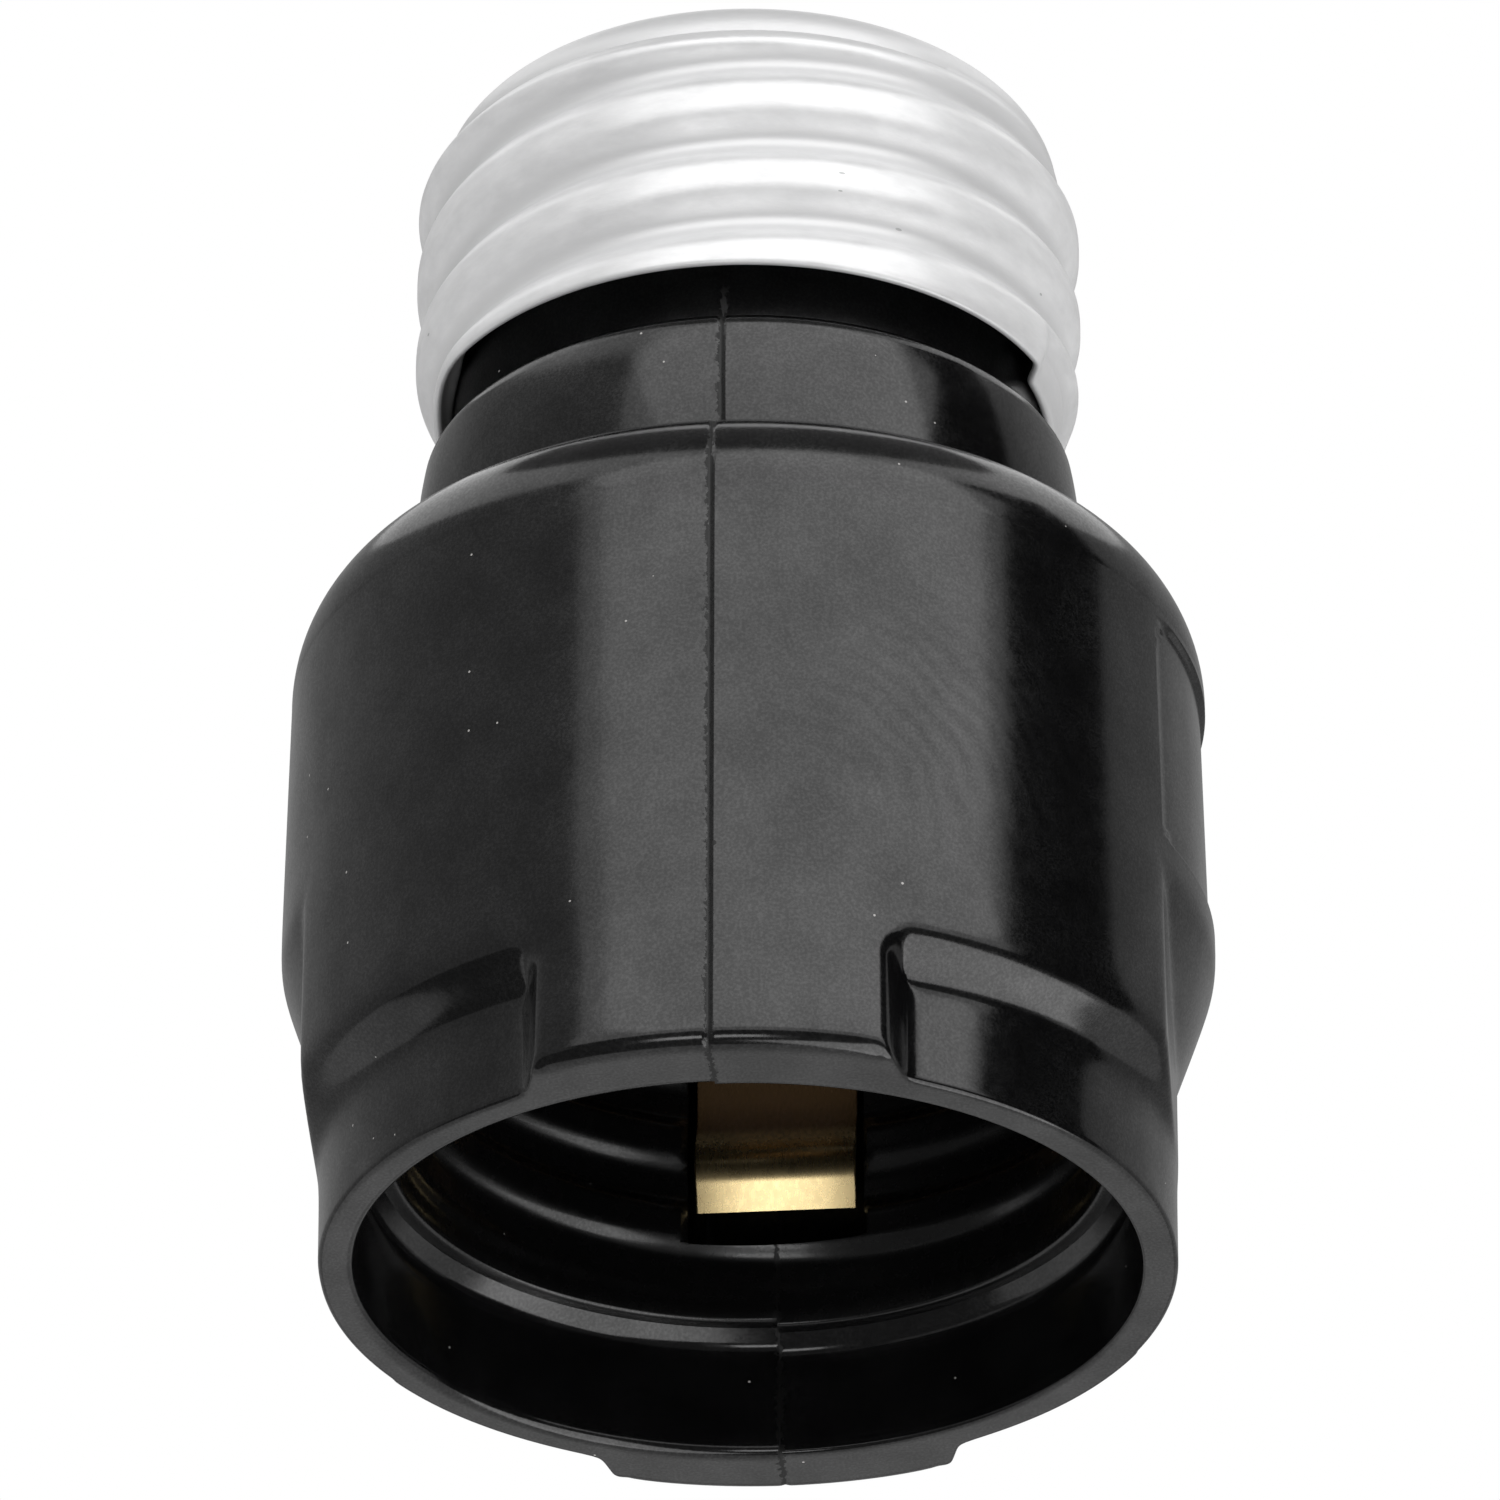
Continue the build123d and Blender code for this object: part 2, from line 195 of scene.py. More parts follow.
@named
class BodyShape(bpy.types.PropertyGroup):
    """Sizes of the two moulded halves."""

    base_radius: mm("Wall radius at the rim", 18.05)
    draft: turn("Lean of the wall towards the shoulder", 1.0)
    wall_height: mm("Height where the shoulder starts", 24.3)
    shoulder_width: mm("How far the shoulder draws in", 3.2)
    shoulder_rise: mm("Height of the shoulder", 4.1)
    collar_radius: mm("Widest radius of the collar", 12.95)
    collar_barrel: mm("How far the collar draws in at its ends", 0.32)
    collar_top: mm("Height of the collar's top", 34.85)
    collar_edge: mm("Rounding of the collar's top edge", 0.3)
    neck_radius: mm("Radius of the neck inside the shell", 11.6)
    neck_top: mm("Height of the seat under the shell's crown", 49.65)
    neck_chamfer: mm("Chamfer at the neck's top", 1.9)
    neck_fillet: mm("Rounding at the neck's foot", 0.25)
    neck_cove: mm("How near the middle of that rounding comes to its corner", 0.07)
    neck_ring: mm("Height of a row of points above the collar", 3.0)
    nose_radius: mm("Radius of the nose where it leaves the shell", 8.5)
    nose_low: mm("Height where the nose starts to taper", 50.0)
    nose_tip_radius: mm("Radius of the nose's top", 6.0)
    nose_top: mm("Height of the nose's top", 52.9)
    nose_bevel: mm("Bevel at the nose's top", 0.3)
    tip_hole: mm("Radius of the hole for the tip contact", 2.9)
    spring_bore: mm("Radius of the bore for the spring", 3.4)
    spring_bore_top: mm("Height of the spring bore's top", 47.0)
    guide_bore: mm("Radius of the plunger's guide", 2.6)
    guide_top: mm("Height of the guide's top", 32.7)
    chamber_radius: mm("Radius of the chamber above the socket", 9.0)
    chamber_top: mm("Height of the chamber's ceiling", 29.3)
    chamber_floor: mm("Height where the chamber opens to the socket", 24.7)
    socket_radius: mm("Root radius of the socket's thread", 13.5)
    socket_top: mm("Height where the socket's thread ends", 22.3)
    socket_low: mm("Height where the socket's thread starts", 6.1)
    socket_ridge: mm("Depth of the socket's thread", 0.5)
    ridge_fade: mm("Height over which the ridges die out", 1.5)
    socket_phase: mm("Height of a ridge above the front seam", 7.15)
    pitch: mm("Pitch of both screw threads", 3.629)
    mouth_radius: mm("Radius of the mouth", 14.75)
    mouth_depth: mm("Height of the ledge in the mouth", 4.45)
    ledge_slope: mm("Height and width of the ledge's sloping face", 0.62)
    ledge_rise: mm("Height of the rounding above the ledge", 0.12)
    ledge_cove: mm("How near the middle of that rounding comes to its corner", 0.05)
    ledge_edge: mm("First step out along the ledge and down from it", 0.15)
    ledge_step: mm("How much lower the ledge is on the right half", 0.22)
    mouth_edge: mm("Rounding of the mouth's inner edge on the right half", 0.2)
    mouth_bevel: mm("Rounding of the mouth's inner edge on the left half", 0.45)
    lug_ease: mm("Width over which a lug's foot turns into a recess's", 0.8)
    lug_foot: mm("Rounding under the lugs", 0.75)
    recess_foot: mm("Rounding under the recesses", 0.25)
    recess_radius: mm("Radius of the recess floors", 16.2)
    recess_height: mm("Height of the recesses", 5.3)
    recess_slope: mm("Width of the cove around a recess", 1.25)
    recess_brow: mm("Rounding where the wall turns into a recess", 0.6)
    recess_fillet: mm("Rounding where a recess meets its floor", 0.55)
    recess_corner: mm("Corner radius of a recess", 1.1)
    lug_angle: turn("From a seam to the edge of its lug", 21.2)
    bay_angle: turn("From the front seam to the panel's near edge", 66.3)
    bay_end: turn("From the front seam to the far edge of a bay", 120.0)
    bay_flat: mm("Distance of a bay's flat face from the parting plane", 16.2)
    bay_lean: mm("Height where a bay's floor starts to lean out", 8.2)
    bay_high: mm("Height where a bay's floor meets the wall", 12.8)
    bay_side: mm("Width of a bay's far side", 0.6)
    bay_blend: mm("Rounding along the edges of a bay", 0.14)
    panel_low: mm("Height of the panel's lower edge", 14.0)
    panel_high: mm("Height of the panel's upper edge", 24.0)
    panel_depth: mm("Depth of the panel", 0.22)
    panel_corner: mm("Corner radius of the panel", 1.2)
    panel_edge: mm("Width of the panel's step", 0.16)
    seam_depth: mm("Depth of the groove along the seam", 0.1)
    seam_width: mm("Half width of the groove along the seam", 0.13)
    pocket_half_width: mm("Half width of the side contact's pocket", 3.45)
    pocket_low: mm("Height of the pocket's floor", 8.3)
    pocket_high: mm("Height of the pocket's top", 26.25)
    pocket_edge: mm("Height of the step at the pocket's ends", 0.12)
    pocket_back: mm("Distance of the pocket's back from the axis", 15.65)
    slot_near: mm("Near face of the strip's slot", 10.05)
    slot_far: mm("Far face of the strip's slot", 11.5)
    groove_top: mm("Top of the strip's groove in the neck", 45.45)
    head_seat_half: mm("Half width of the seat for the strip's head", 4.55)
    head_seat_near: mm("Near face of the seat for the strip's head", 10.3)
    head_seat_low: mm("Lower end of the seat", 38.35)
    head_seat_high: mm("Upper end of the seat", 41.6)


@named
class ShellShape(bpy.types.PropertyGroup):
    """Sizes of the screw shell."""

    crest_radius: mm("Radius of the thread's crests", 13.09)
    thread_depth: mm("Depth of the thread", 0.8)
    thread_sharpness: amount("How narrow the thread's roots are, 1 for a plain wave", 1.8)
    pitch: mm("Pitch of the thread", 3.629)
    crest_height: mm("Height where a crest crosses the front seam", 37.34)
    sheet: mm("Thickness of the sheet", 0.35)
    rim: mm("Height of the lower rim", 36.85)
    top: mm("Height of the crown", 50.0)
    crown_fade: mm("Height over which the thread dies out below the crown", 1.3)
    crown_radius: mm("Rounding of the crown", 1.9)
    hole_radius: mm("Radius of the hole in the crown", 8.9)
    crimp_angle: turn("Half angle of each crimp", 20.0)
    crimp_blend: turn("Angle over which the right crimp eases in", 7.0)
    crimp_ease: turn("Angle over which the left crimp eases in", 30.0)
    crimp_depth: mm("How far the crimps are pressed in", 0.75)
    crimp_seat: mm("Smallest radius that the crimps reach", 11.96)
    crimp_turn: mm("Rounding where the crimps reach that radius", 0.05)
    crimp_height: mm("Height of the pressed part", 1.3)
    crimp_slope: mm("Height over which a crimp eases out", 0.9)


@named
class ContactShape(bpy.types.PropertyGroup):
    """Sizes of the brass contacts and the spring."""

    strip_width: mm("Width of the side contact", 6.3)
    strip_thickness: mm("Thickness of the side contact", 0.4)
    strip_edge: mm("Rounding of the strip's edges", 0.08)
    head_width: mm("Width of the strip's head", 8.6)
    head_low: mm("Lower end of the head", 38.6)
    head_high: mm("Upper end of the head", 41.6)
    bend_radius: mm("Radius of the strip's bends", 1.2)
    lip_y: mm("Distance of the lip from the axis", 11.02)
    strip_top: mm("Height of the strip's top", 45.2)
    lip_low: mm("Height where the lip bends out", 42.86)
    stem_y: mm("Distance of the stem from the axis", 10.5)
    jog_z: mm("Height where the strip jogs out", 26.0)
    jog_height: mm("Height of the jog", 3.5)
    spring_y: mm("Distance of the sprung run from the axis", 13.9)
    nose_y: mm("Distance of the nose from the axis", 12.45)
    nose_z: mm("Height of the nose", 11.6)
    nose_half: mm("Half the height of the slope above the nose", 1.3)
    nose_end: mm("How far the strip runs back below the nose", 1.1)
    nose_drop: mm("How far the strip runs down below the nose", 1.54)
    sweep_radius: mm("Radius of the long bend above the nose", 3.6)
    coil_radius: mm("Mean radius of the spring", 2.3)
    wire_radius: mm("Radius of the spring's wire", 0.3)
    coil_low: mm("Height of the spring's lower end", 34.1)
    coil_high: mm("Height of the spring's upper end", 45.3)
    coil_turns: amount("Turns of the spring", 6.0)


@named
class Finishes(bpy.types.PropertyGroup):
    """Colours of the finishes."""

    plastic: colour("Colour of the moulded halves", (0.0016, 0.0016, 0.0017))
    dust: colour("Colour of dust on the moulding", (0.32, 0.31, 0.3))
    haze: colour("Colour of the dusty film on the moulding", (0.006, 0.006, 0.0062))
    aluminium: colour("Colour of the screw shell", (0.82, 0.82, 0.825))
    brass: colour("Colour of the contacts", (0.83, 0.65, 0.34))
    # Painted shade for the strip above its nose, which sits in the socket's dark inside.
    tarnish: colour("Colour of the brass strip above its nose", (0.125, 0.075, 0.035))
    wire: colour("Colour of the spring", (0.55, 0.55, 0.56))
    floor: colour("Colour of the floor", (0.98, 0.98, 0.98))


@named
class Studio(bpy.types.PropertyGroup):
    """Camera, floor and light."""

    azimuth: turn("Side angle of the camera from the front seam", 4.7)
    elevation: turn("Height angle of the camera", -30.925)
    distance: mm("From the camera to its target", 425.3)
    target_height: mm("Height the camera looks at", 25.0)
    lens: amount("Focal length in millimetres on a 36 mm sensor", 264.0)
    shift_x: amount("Sideways shift of the picture", 0.001)
    shift_y: amount("Upright shift of the picture", -0.0309)
    floor_height: mm("Height of the studio floor", -1000.0)
    table_height: mm("Height of the cards below the object", -390.0)
    ambient: amount("Light from all around", 1.0)
    key_radiance: amount("Brightness of the large soft light", 0.75)
    low_radiance: amount("Brightness of the small light below on the right", 1.9)
    under_radiance: amount("Brightness of the small light below the mouth", 3.0)
    screen_tone: amount("Tone of the grey screens that the metal and the moulding reflect", 0.28)
    table_tone: amount("Tone of the dark table in front that the rounded edges reflect", 0.1)
    roof_tone: amount("Tone of the card overhead that the thread's upper flanks reflect", 0.15)
    board_tone: amount("Tone of the grey table behind that the rim's underside reflects", 0.55)


def smooth(x):
    """The cubic ease 3x^2 - 2x^3, held at 0 and 1 outside."""
    x = np.clip(x, 0.0, 1.0)
    return x * x * (3.0 - 2.0 * x)


def soft_max(a, b, blend):
    """The larger of two values, rounded where they meet: (a + b + sqrt((a - b)^2 + blend^2)) / 2."""
    return 0.5 * (a + b + np.sqrt((a - b) ** 2 + blend ** 2))


def rounded_rectangle(s, z, half_s, half_z, corner):
    """Distance inside a rounded rectangle centred on the origin, positive inside it."""
    qs = np.abs(s) - (half_s - corner)
    qz = np.abs(z) - (half_z - corner)
    outside = np.hypot(np.maximum(qs, 0.0), np.maximum(qz, 0.0))
    inside = np.minimum(np.maximum(qs, qz), 0.0)
    return corner - outside - inside


def runs(marks, steps):
    """Places from mark to mark in the given numbers of even steps, with the last mark left out."""
    spans = zip(marks[:-1], marks[1:], steps)
    return np.concatenate([np.linspace(a, b, n, endpoint=False) for a, b, n in spans])


def clustered(start, end, step, marks, reach, fine):
    """Even steps from start to end with finer ones within reach of each mark."""
    near = [mark + np.arange(-reach, reach + fine, fine) for mark in marks]
    places = np.concatenate([np.arange(start, end, step), [start, end], *near])
    places = np.unique(np.round(places[(places >= start) & (places <= end)], 7))
    keep = np.concatenate([[True], np.diff(places) > 0.3 * fine])
    keep[-1] = True
    return places[keep]


def new_piece(name, vertices, faces, material, sharp=math.radians(40)):
    """A mesh object at the origin from points in metres, smooth except across sharp edges."""
    mesh = bpy.data.meshes.new(name)
    mesh.from_pydata(vertices, [], faces)
    mesh.update()
    mesh.shade_smooth()
    mesh.set_sharp_from_angle(angle=sharp)
    mesh.materials.append(material)
    obj = bpy.data.objects.new(name, mesh)
    bpy.context.scene.collection.objects.link(obj)
    return obj


def grid_faces(rows, columns, closed_rows, closed_columns):
    """Quads of a rows by columns grid of points, wrapped round where it is closed."""
    index = np.arange(rows * columns).reshape(rows, columns)
    if closed_rows:
        index = np.vstack([index, index[:1]])
    if closed_columns:
        index = np.hstack([index, index[:, :1]])
    corners = (index[:-1, :-1], index[:-1, 1:], index[1:, 1:], index[1:, :-1])
    return np.stack([c.ravel() for c in corners], axis=1).tolist()


def around(radius, height, angle):
    """Points at a radius and height, at an angle counted from -Y towards +X."""
    x = radius * np.sin(angle)
    y = -radius * np.cos(angle)
    return np.stack([x, y, height], axis=-1).reshape(-1, 3)


def arc(r, z, wide, tall, start, end, steps):
    """Rows (radius, height) along an elliptical arc: (r + wide cos a, z + tall sin a)."""
    return [(r + wide * math.cos(a), z + tall * math.sin(a)) for a in np.linspace(start, end, steps)]


def swept(rows, angle):
    """Points of rows of (radius, height) carried round the angles, with the numbers of rows and columns."""
    radius, height, turned = np.array([np.broadcast_arrays(r, z, angle) for r, z in rows]).transpose(1, 0, 2)
    return around(radius, height, turned), radius.shape


def carve(obj, name, x, y, z):
    """Cuts a box out of a closed piece; x, y and z are its (low, high) places."""
    corners = np.array([(a, b, c) for c in z for b in y for a in x])
    sides = [(0, 2, 3, 1), (4, 5, 7, 6), (0, 1, 5, 4), (2, 6, 7, 3), (0, 4, 6, 2), (1, 3, 7, 5)]
    block = new_piece(name, corners.tolist(), sides, obj.data.materials[0])
    cut = obj.modifiers.new(name, "BOOLEAN")
    cut.operation = "DIFFERENCE"
    cut.solver = "EXACT"
    cut.object = block
    carved = bpy.data.meshes.new_from_object(obj.evaluated_get(bpy.context.evaluated_depsgraph_get()))
    obj.modifiers.clear()
    plain = obj.data
    obj.data = carved
    carved.name = plain.name
    bpy.data.meshes.remove(plain)
    mesh = block.data
    bpy.data.objects.remove(block)
    bpy.data.meshes.remove(mesh)


def fold(angle):
    """The angle from the nearest seam, from 0 at a seam to a quarter turn at the sides."""
    half = np.mod(angle, math.pi)
    return np.minimum(half, math.pi - half)


def wall_cut(b, angle, z, wall):
    """How deep the skirt is cut below the plain wall.

    On the unrolled wall the recess between two lugs is a rounded rectangle. Its depth is the distance
    inside it times depth / slope width, held between 0 and the floor's depth with rounded turns. A
    bay is the flat x = bay_flat, radius bay_flat / sin(angle), joined to a floor that leans out with
    height. The cut is the deeper of the two, and the panel on the right half is a shallow step.
    """
    low = -10 * MM
    depth = wall - b.recess_radius
    front = np.arccos(np.cos(angle))

    def inside(start, end, bottom, top, corner):
        side = (front - (start + end) / 2) * b.base_radius
        half = (end - start) / 2 * b.base_radius
        return rounded_rectangle(side, z - (bottom + top) / 2, half, (top - bottom) / 2, corner)

    recess = inside(b.lug_angle, math.pi - b.lug_angle, low, b.recess_height, b.recess_corner)
    recess = soft_max(recess * depth / b.recess_slope, 0.0, b.recess_brow)
    over = (np.sqrt(depth ** 2 + b.recess_fillet ** 2) - depth) / 2
    recess = over - soft_max(-recess, -depth, b.recess_fillet)
    flat = b.bay_flat / np.sin(np.clip(front, math.pi / 8, math.pi / 2))
    rise = (wall - b.bay_flat) / (b.bay_high - b.bay_lean)
    lean = b.bay_flat + rise * (z - b.bay_lean)
    bay = wall - soft_max(flat, lean, b.bay_blend)
    bay = np.minimum(bay, depth * (b.bay_end - front) * b.base_radius / b.bay_side)
    panel = inside(b.bay_angle, math.pi - b.bay_angle, b.panel_low, b.panel_high, b.panel_corner)
    panel = b.panel_depth * smooth(panel / b.panel_edge) * (np.sin(angle) > 0)
    return soft_max(recess, bay, b.bay_blend) + panel


def seam_groove(b, radius, angle):
    """Depth of the groove along a seam: a bell curve of the distance from the parting plane."""
    away = radius * np.sin(fold(angle))
    return b.seam_depth * np.exp(-((away / b.seam_width) ** 2))


def outside_sections(b, angle, lip):
    """The outside of a half from the rim's bottom edge to the nose, as rows of (radius, height)."""
    lug = 1.0 - smooth((fold(angle) - b.lug_angle) * b.base_radius / b.lug_ease + 0.5)
    foot = b.recess_foot + (b.lug_foot - b.recess_foot) * lug
    lean = math.tan(b.draft)

    def wall_at(z):
        plain = b.base_radius - lean * z
        return plain - wall_cut(b, angle, z, plain) - seam_groove(b, plain, angle)

    edge = wall_at(foot)
    start = b.mouth_radius + lip
    part = np.linspace(0.0, 1.0, 9, endpoint=False)
    rows = [(start + (edge - foot - start) * t, 0.0) for t in part]
    rows += arc(edge - foot, foot, foot, foot, -QUARTER, 0.0, 8)[:-1]
    levels = [foot + (WALL_MARKS[0] * MM - foot) * t for t in part]
    levels += list(runs(WALL_MARKS, WALL_STEPS) * MM)
    rows += [(wall_at(z), z) for z in levels]
    shoulder_top = b.wall_height + b.shoulder_rise
    inner = b.base_radius - lean * b.wall_height - b.shoulder_width
    profile = arc(inner, b.wall_height, b.shoulder_width, b.shoulder_rise, 0.0, QUARTER, 26)
    half = (b.collar_top - shoulder_top) / 2
    for z in np.linspace(shoulder_top, b.collar_top - b.collar_edge, 20):
        profile.append((b.collar_radius - b.collar_barrel * ((z - shoulder_top - half) / half) ** 2, z))
    rim = b.collar_radius - b.collar_barrel - b.collar_edge
    profile += arc(rim, b.collar_top - b.collar_edge, b.collar_edge, b.collar_edge, 0.0, QUARTER, 6)[1:]
    rows += [(r - seam_groove(b, r, angle), z) for r, z in profile]
    rows += [
        (b.neck_radius + b.neck_fillet, b.collar_top),
        (b.neck_radius + b.neck_cove, b.collar_top + b.neck_cove),
        (b.neck_radius, b.collar_top + b.neck_fillet),
        (b.neck_radius, b.collar_top + b.neck_ring),
        (b.neck_radius, b.neck_top - b.neck_chamfer),
        (b.neck_radius - b.neck_chamfer, b.neck_top),
        (b.nose_radius, b.neck_top),
        (b.nose_radius, b.nose_low),
        (b.nose_tip_radius + b.nose_bevel, b.nose_top - b.nose_bevel),
        (b.nose_tip_radius, b.nose_top),
    ]
    return rows


def pocket_reach(b, angle):
    """How far the side contact's pocket reaches from the axis: to its back wall or its side walls."""
    away = np.abs(angle - math.pi)
    back = b.pocket_back / np.maximum(np.cos(away), 0.2)
    side = b.pocket_half_width / np.maximum(np.sin(away), 1e-4)
    return np.where(away < math.pi / 4, np.minimum(back, side), 0.0)


def inside_sections(b, angle, ledge, lip):
    """The inside of a half from the nose down to the mouth's inner edge, as rows of (radius, height).

    The socket's wall is a helical wave: root radius minus ridge depth times a rounded ridge of
    (height - phase - pitch * angle / turn), and the pocket is the larger radius of the two.
    """
    rows = [
        (b.tip_hole, b.nose_top), (b.tip_hole, b.spring_bore_top),
        (b.spring_bore, b.spring_bore_top), (b.spring_bore, b.guide_top),
        (b.guide_bore, b.guide_top), (b.guide_bore, b.chamber_top),
        (b.chamber_radius, b.chamber_top), (b.chamber_radius, b.pocket_high + CUT_OVERLAP),
    ]
    reach = pocket_reach(b, angle)

    def wall_at(z):
        turns = (z - b.socket_phase) / b.pitch - angle / TURN
        ridge = smooth(0.5 + RIDGE_GAIN * 0.5 * np.cos(TURN * turns))
        fade = smooth((b.socket_top - z) / b.ridge_fade) * smooth((z - b.socket_low) / b.ridge_fade)
        wall = b.socket_radius - b.socket_ridge * ridge * fade
        rise = np.clip((z - b.socket_top) / (b.chamber_floor - b.socket_top), 0.0, 1.0)
        wall = np.minimum(wall, b.socket_radius + (b.chamber_radius - b.socket_radius) * rise)
        open_up = smooth((z - b.pocket_low) / b.pocket_edge)
        open_up = open_up * smooth((b.pocket_high - z) / b.pocket_edge + 1.0)
        return wall + np.maximum(reach - wall, 0.0) * open_up

    rows += [(wall_at(z), z) for z in runs(SOCKET_MARKS, SOCKET_STEPS) * MM]
    top = ledge + b.ledge_slope
    low = wall_at(top + b.ledge_rise)
    rows += [(low, top + b.ledge_rise), (low + b.ledge_cove, top + b.ledge_cove)]
    slope_start = b.mouth_radius - b.ledge_slope
    first = low + b.ledge_edge
    rows += [(first + (slope_start - first) * t, top) for t in np.linspace(0.0, 1.0, 4)]
    rows += [(slope_start + t, top - t) for t in np.linspace(0.0, b.ledge_slope, 7)[1:-1]]
    rows += [(b.mouth_radius, z) for z in np.linspace(ledge - b.ledge_edge, lip, 10)]
    rows += arc(b.mouth_radius + lip, lip, lip, lip, math.pi, 3 * QUARTER, 5)[1:-1]
    return rows


def half_angles(b, first):
    """Places around a half, from just past one seam to just short of the other, finer at its edges."""
    sides = (first + SEAM_GAP, first + math.pi - SEAM_GAP)
    edge = math.asin(b.bay_flat / b.base_radius)
    near, far = (edge, b.bay_end) if first == 0.0 else (math.pi - b.bay_end, math.pi - edge)
    lug = b.lug_angle + LUG_SHIFT
    marks = {"bay": [first + near, first + far], "lug": [first + lug, first + math.pi - lug], "seam": sides}
    for name, reach in (("wall", b.socket_radius), ("back", b.pocket_back)):
        pocket = math.asin(b.pocket_half_width / reach)
        marks[name] = [math.pi + pocket, math.pi - pocket]
    places = np.empty(0)
    for name, (step, reach, fine) in ANGLE_STEPS.items():
        places = np.union1d(places, clustered(*sides, step, marks[name], reach, fine))
    keep = np.concatenate([[True], np.diff(places) > LEAST_ANGLE])
    keep[-1] = True
    return places[keep]


def body_half(b, name, first, ledge, lip, material):
    """One moulded half: a closed outline carried round half a turn, with a flat face at each seam."""
    angle = half_angles(b, first)
    rows = outside_sections(b, angle, lip) + inside_sections(b, angle, ledge, lip)
    points, (count, columns) = swept(rows, angle)
    faces = grid_faces(count, columns, True, False)
    start = [row * columns for row in range(count)]
    end = [row * columns + columns - 1 for row in range(count - 1, -1, -1)]
    obj = new_piece(name, points.tolist(), faces + [start, end], material)
    wide = (-b.pocket_half_width, b.pocket_half_width)
    seat = (-b.head_seat_half, b.head_seat_half)
    slot = (b.pocket_high - SLOT_OVERLAP, b.collar_top + CUT_OVERLAP)
    groove = (b.collar_top + GROOVE_OVERLAP, b.groove_top)
    beyond = b.neck_radius + NECK_OVERLAP
    carve(obj, "slot_cut", wide, (b.slot_near, b.slot_far), slot)
    carve(obj, "groove_cut", wide, (b.slot_near, beyond), groove)
    carve(obj, "seat_cut", seat, (b.head_seat_near, beyond), (b.head_seat_low, b.head_seat_high))
    return obj


def shell_radius(s, angle, z):
    """Outer radius of the screw shell: root plus a helical wave, less the press of the two crimps.

    The wave is 1 - (0.5 - 0.5 cos(turns)) ^ sharpness, so the crests are broad and the roots narrow.
    """
    turns = (z - s.crest_height) / s.pitch - angle / TURN
    wave = 1.0 - (0.5 - 0.5 * np.cos(TURN * turns)) ** s.thread_sharpness
    fade = smooth((s.top - s.crown_radius - z) / s.crown_fade + 0.15)
    side = np.abs(fold(angle) - QUARTER)
    blend = np.where(np.sin(angle) > 0, s.crimp_blend, s.crimp_ease)
    press = smooth((s.crimp_angle - side) / blend + 0.5)
    press = press * smooth((s.rim + s.crimp_height + s.crimp_slope - z) / s.crimp_slope)
    radius = s.crest_radius - s.thread_depth + s.thread_depth * wave * fade - s.crimp_depth * press
    return soft_max(radius, s.crimp_seat, s.crimp_turn)


def screw_shell(s, material):
    """The shell: a helical wave for the thread, a quarter-round crown and a flange, given sheet thickness."""
    angle = np.linspace(0.0, TURN, 400, endpoint=False)
    lip = s.sheet / 2
    low = s.rim + lip
    crown = s.top - s.crown_radius
    middle = s.crest_radius - s.thread_depth - s.crown_radius
    inner = s.crown_radius - s.sheet
    rows = [(shell_radius(s, angle, z), z) for z in runs((low, crown), (112,))]
    rows += arc(middle, crown, s.crown_radius, s.crown_radius, 0.0, QUARTER, 14)
    rows += arc(s.hole_radius + lip, s.top - lip, lip, lip, QUARTER, 3 * QUARTER, 7)
    rows += arc(middle, crown, inner, inner, QUARTER, 0.0, 8)
    rows += [(shell_radius(s, angle, z) - s.sheet, z) for z in runs((crown, low), (56,))[1:]]
    rows += arc(shell_radius(s, angle, low) - lip, low, lip, lip, -math.pi, 0.0, 8)[:-1]
    points, shape = swept(rows, angle)
    return new_piece("screw_shell_sheet", points.tolist(), grid_faces(*shape, True, True), material)


def rounded_path(points, radii, steps):
    """A line through corner points with each inner corner turned into an arc of its radius."""
    places = [np.array(points[0])]
    for before, corner, after, radius in zip(points[:-2], points[1:-1], points[2:], radii):
        back = np.subtract(before, corner)
        ahead = np.subtract(after, corner)
        back = back / np.linalg.norm(back)
        ahead = ahead / np.linalg.norm(ahead)
        half = math.acos(np.clip(back @ ahead, -1, 1)) / 2
        middle = (back + ahead) / np.linalg.norm(back + ahead)
        centre = np.array(corner) + middle * radius / math.sin(half)
        swing = math.pi / 2 - half
        across = np.array([-middle[1], middle[0]]) * np.sign(back @ np.array([-middle[1], middle[0]]))
        for a in np.linspace(swing, -swing, steps):
            places.append(centre + radius * (-middle * math.cos(a) + across * math.sin(a)))
    places.append(np.array(points[-1]))
    return np.array(places)


def split_runs(path, longest):
    """The same line with long runs divided into even steps."""
    pieces = [path[:1]]
    for a, b in zip(path[:-1], path[1:]):
        count = max(1, math.ceil(np.linalg.norm(b - a) / longest))
        pieces.append(a + (b - a) * np.linspace(0, 1, count + 1)[1:, None])
    return np.concatenate(pieces)


